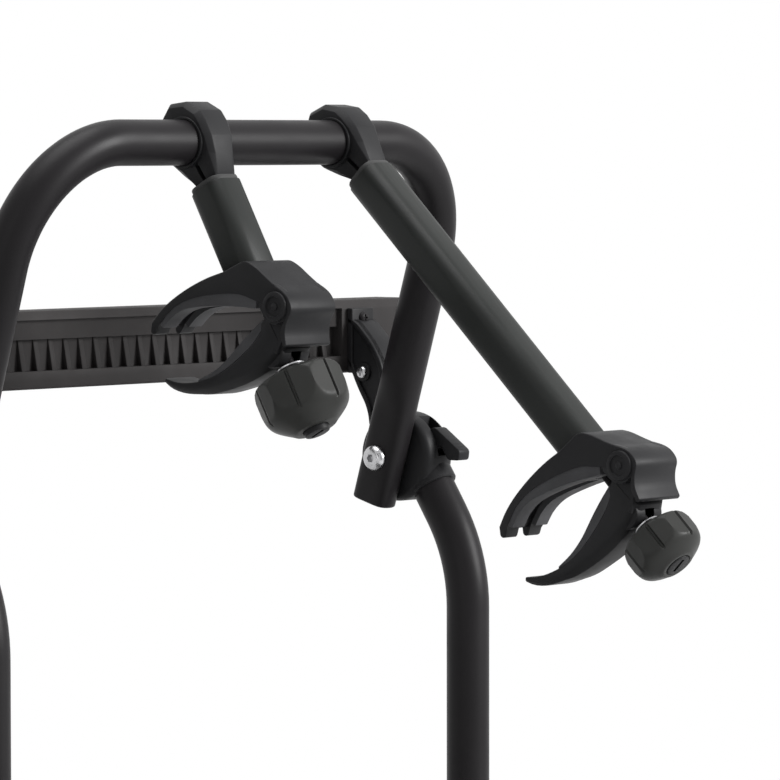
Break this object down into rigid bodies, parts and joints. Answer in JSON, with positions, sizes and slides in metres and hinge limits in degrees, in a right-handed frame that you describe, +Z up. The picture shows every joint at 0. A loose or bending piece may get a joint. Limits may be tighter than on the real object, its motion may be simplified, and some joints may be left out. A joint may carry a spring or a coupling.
{
  "type": "bike carrier",
  "caption": "Tube frame bike carrier with a folding bow, clamped holding arms with screw claws, a padded support bar and a fold up wheel platform.",
  "frame": {"origin": "middle of the footprint, on the floor that the feet stand on", "axes": "+X across the vehicle, +Y towards the vehicle, +Z up"},
  "size_m": [1.06, 0.466, 0.7583],
  "materials": {
    "black_tube": "satin powder coat",
    "grey_tube": "satin",
    "hub_plastic": "fine texture",
    "claw_plastic": "fine texture",
    "pad_rubber": "matt",
    "knob_plastic": "soft touch",
    "bar_plastic": "fine texture",
    "black_rubber": "matt",
    "steel": "zinc plated",
    "dark_steel": "satin powder coat",
    "tray_metal": "satin powder coat"
  },
  "bodies": {
    "lower_frame": {"lower_tube": "black_tube", "hub_housing_right": "hub_plastic", "hub_housing_left": "hub_plastic", "hub_covers": "hub_plastic", "hub_bolts": "steel", "hub_nuts": "steel", "lever_pins": "steel", "support_bar": "bar_plastic", "bar_pad": "black_rubber", "bar_end_caps": "bar_plastic", "bar_brackets": "bar_plastic", "bar_screws": "dark_steel", "floor_feet": "black_rubber", "bumper_brackets": "hub_plastic", "bumper_pads": "black_rubber", "bumper_screws": "steel", "hinge_brackets": "dark_steel", "hinge_pins": "steel"},
    "bow": {"bow_tube": "black_tube", "leg_ends": "black_tube"},
    "lever_right": {"hub_lever_right": "hub_plastic"},
    "lever_left": {"hub_lever_left": "hub_plastic"},
    "platform": {"platform_beam_right": "black_tube", "platform_beam_left": "black_tube", "platform_crosses": "black_tube", "beam_end_caps": "hub_plastic", "tray_near": "tray_metal", "tray_far": "tray_metal", "tray_end_caps": "hub_plastic", "tray_brackets": "hub_plastic"},
    "slide_short": {"bar_liner_short": "hub_plastic"},
    "arm_short": {"clamp_back_short": "claw_plastic", "clamp_front_short": "claw_plastic", "clamp_screws_short": "steel", "arm_collar_short": "claw_plastic", "arm_tube_short": "grey_tube", "claw_body_short": "claw_plastic", "claw_pad_short": "pad_rubber", "pivot_bolt_short": "claw_plastic", "jaw_rod_short": "steel"},
    "jaw_short": {"lower_jaw_short": "claw_plastic", "lower_pad_short": "pad_rubber"},
    "washer_short": {"knob_washer_short": "steel"},
    "grip_short": {"knob_short": "knob_plastic", "knob_cap_short": "knob_plastic"},
    "slide_long": {"bar_liner_long": "hub_plastic"},
    "arm_long": {"clamp_back_long": "claw_plastic", "clamp_front_long": "claw_plastic", "clamp_screws_long": "steel", "arm_collar_long": "claw_plastic", "arm_tube_long": "grey_tube", "claw_body_long": "claw_plastic", "claw_pad_long": "pad_rubber", "pivot_bolt_long": "claw_plastic", "jaw_rod_long": "steel"},
    "jaw_long": {"lower_jaw_long": "claw_plastic", "lower_pad_long": "pad_rubber"},
    "washer_long": {"knob_washer_long": "steel"},
    "grip_long": {"knob_long": "knob_plastic", "knob_cap_long": "knob_plastic"}
  },
  "joints": [
    {"name": "bow_fold", "type": "hinge", "parent": "lower_frame", "child": "bow", "pos_m": [0, 0.152, 0.51], "axis": [1, 0, 0], "range_deg": [-5, 40]},
    {"name": "platform_fold", "type": "hinge", "parent": "lower_frame", "child": "platform", "pos_m": [0, 0.071, 0.097], "axis": [-1, 0, 0], "range_deg": [0, 90]},
    {"name": "lever_press_right", "type": "hinge", "parent": "lower_frame", "child": "lever_right", "pos_m": [0.2412, 0.132, 0.519], "axis": [1, 0, 0], "range_deg": [0, 10], "stiffness_Nm_per_rad": 0.1, "springref_deg": -17.19},
    {"name": "lever_press_left", "type": "hinge", "parent": "lower_frame", "child": "lever_left", "pos_m": [-0.2412, 0.132, 0.519], "axis": [1, 0, 0], "range_deg": [0, 10], "stiffness_Nm_per_rad": 0.1, "springref_deg": -17.19},
    {"name": "arm_slide_short", "type": "slide", "parent": "bow", "child": "slide_short", "axis": [1, 0, 0], "range_m": [-0.035, 0.02]},
    {"name": "arm_swing_short", "type": "hinge", "parent": "slide_short", "child": "arm_short", "pos_m": [-0.056, 0.08601, 0.73137], "axis": [-1, 0, 0], "range_deg": [-8, 40]},
    {"name": "knob_travel_short", "type": "slide", "parent": "arm_short", "child": "washer_short", "axis": [0, 0.4848, 0.8746], "range_m": [-0.0022, 0.0057]},
    {"name": "knob_turn_short", "type": "hinge", "parent": "washer_short", "child": "grip_short", "pos_m": [-0.056, 0.0065, 0.58793], "axis": [0, 0.4848, 0.8746], "range_deg": [-196, 510]},
    {"name": "jaw_close_short", "type": "hinge", "parent": "arm_short", "child": "jaw_short", "pos_m": [-0.056, -0.00082, 0.62629], "axis": [1, 0, 0], "range_deg": [-5, 13]},
    {"name": "arm_slide_long", "type": "slide", "parent": "bow", "child": "slide_long", "axis": [1, 0, 0], "range_m": [-0.02, 0.02]},
    {"name": "arm_swing_long", "type": "hinge", "parent": "slide_long", "child": "arm_long", "pos_m": [0.092, 0.08601, 0.73137], "axis": [-1, 0, 0], "range_deg": [-20, 25]},
    {"name": "knob_travel_long", "type": "slide", "parent": "arm_long", "child": "washer_long", "axis": [0, 0.7193, 0.6947], "range_m": [-0.0022, 0.0057]},
    {"name": "knob_turn_long", "type": "hinge", "parent": "washer_long", "child": "grip_long", "pos_m": [0.092, -0.16936, 0.48477], "axis": [0, 0.7193, 0.6947], "range_deg": [-196, 510]},
    {"name": "jaw_close_long", "type": "hinge", "parent": "arm_long", "child": "jaw_long", "pos_m": [0.092, -0.16515, 0.52359], "axis": [1, 0, 0], "range_deg": [-5, 13]}
  ],
  "couplings": [
    {"joint": "knob_travel_short", "follows": "knob_turn_short", "m_per_rad": 0.00063662},
    {"joint": "jaw_close_short", "follows": "knob_turn_short", "ratio": 0.025465},
    {"joint": "knob_travel_long", "follows": "knob_turn_long", "m_per_rad": 0.00063662},
    {"joint": "jaw_close_long", "follows": "knob_turn_long", "ratio": 0.025465}
  ]
}
